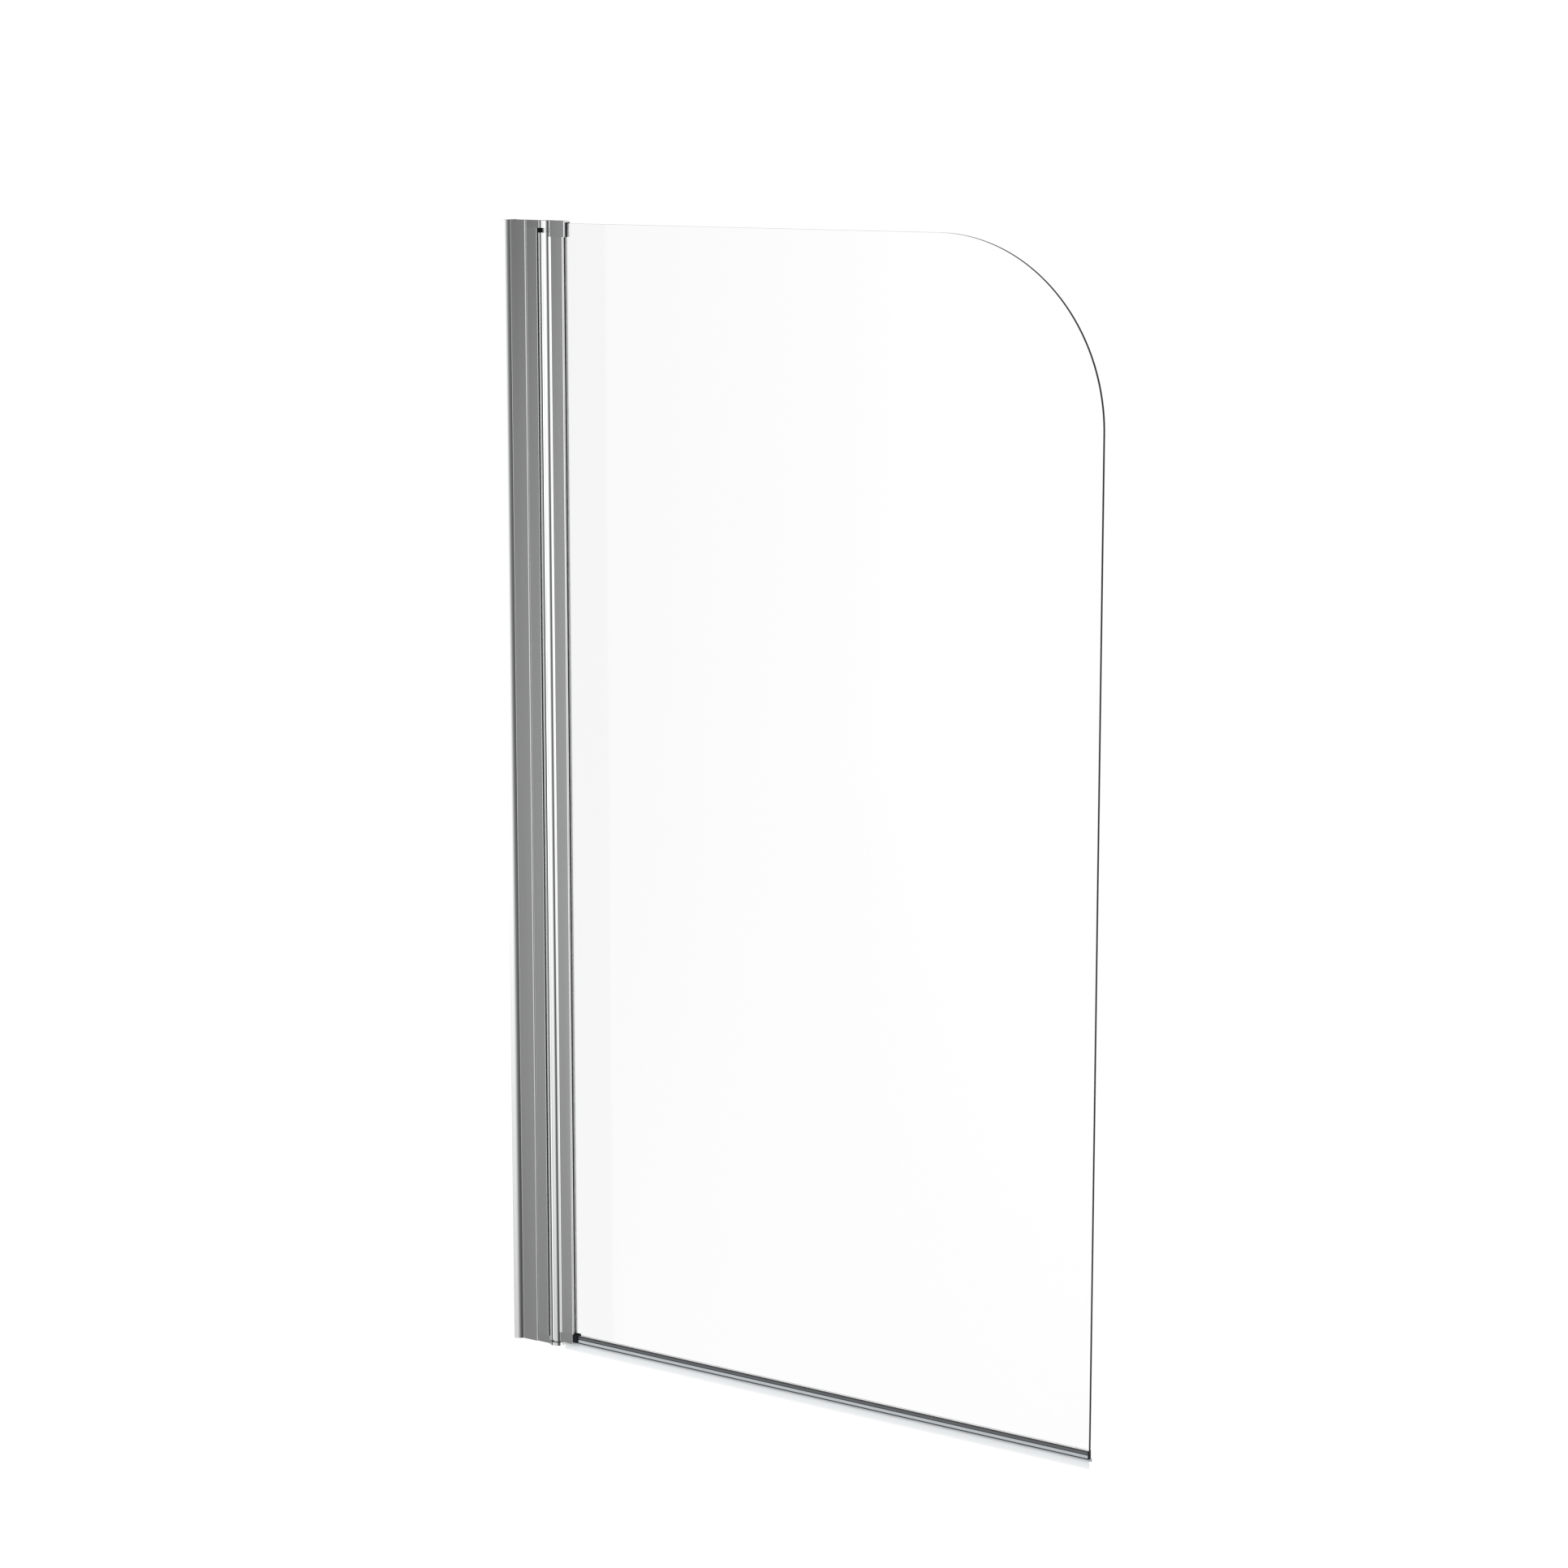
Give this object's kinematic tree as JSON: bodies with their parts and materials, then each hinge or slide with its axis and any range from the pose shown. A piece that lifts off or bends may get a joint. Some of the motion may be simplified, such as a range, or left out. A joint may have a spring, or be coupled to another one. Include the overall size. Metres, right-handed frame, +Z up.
{
  "type": "bath screen",
  "caption": "Frameless glass bath screen with a rounded top corner, hinged on a chrome wall profile that adjusts in width, with a clear water seal underneath.",
  "frame": {"origin": "bottom end of the wall profile, in the middle of the face that lies on the wall", "axes": "+X from the wall towards the free edge of the glass, +Y towards the bath, +Z up; Y = 0 is the middle of the glass"},
  "size_m": [0.8332, 0.0276, 1.4055],
  "materials": {
    "polished_aluminium": "bright polished extrusion",
    "chrome_plating": "bright chrome plating on a casting",
    "bright_steel": "ground and polished steel",
    "stainless_steel": "plain stainless steel",
    "grey_plastic": "fine matt moulding",
    "black_rubber": "matt extruded rubber",
    "black_nylon": "matt moulding",
    "white_nylon": "matt moulding",
    "clear_glass": "clear toughened glass with ground edges",
    "clear_gasket": "translucent soft strip",
    "clear_pvc": "clear rigid extrusion",
    "clear_soft_pvc": "clear soft blade"
  },
  "bodies": {
    "wall_profile": {"wall_channel": "polished_aluminium", "channel_top_plug": "grey_plastic", "channel_bottom_plug": "grey_plastic", "locking_screws": "stainless_steel", "locking_nut_plates": "stainless_steel", "locking_screw_caps": "chrome_plating"},
    "expander": {"expander_profile": "polished_aluminium", "hinge_seal": "black_rubber", "top_pivot_cap": "chrome_plating", "bottom_pivot_cap": "chrome_plating", "top_cap_screws": "stainless_steel", "bottom_cap_screws": "stainless_steel", "top_pivot_pin": "bright_steel", "bottom_pivot_pin": "bright_steel", "pin_grub_screw": "stainless_steel"},
    "hinge_ring": {"cam_ring": "black_nylon"},
    "panel": {"hinge_post": "polished_aluminium", "top_bush": "white_nylon", "bottom_bush": "white_nylon", "top_glass_block": "chrome_plating", "top_glass_pad": "black_rubber", "top_glass_liner": "clear_gasket", "bottom_glass_block": "chrome_plating", "glass_block_screws": "stainless_steel", "glass_panel": "clear_glass", "room_side_gasket": "black_rubber", "bath_side_gasket": "clear_gasket", "glass_edge_spacers": "clear_gasket", "seal_carrier": "clear_pvc", "seal_blade": "clear_soft_pvc", "seal_end_cap": "black_rubber", "seal_corner_pads": "black_rubber"}
  },
  "joints": [
    {"name": "width_adjust", "type": "slide", "parent": "wall_profile", "child": "expander", "axis": [1, 0, 0], "range_m": [-0.008, 0.008]},
    {"name": "panel_swing", "type": "hinge", "parent": "expander", "child": "hinge_ring", "pos_m": [0.0593, 0, 0], "axis": [0, 0, 1], "range_deg": [-90, 90]},
    {"name": "panel_rise", "type": "slide", "parent": "hinge_ring", "child": "panel", "axis": [0, 0, 1], "range_m": [0, 0.005]}
  ]
}
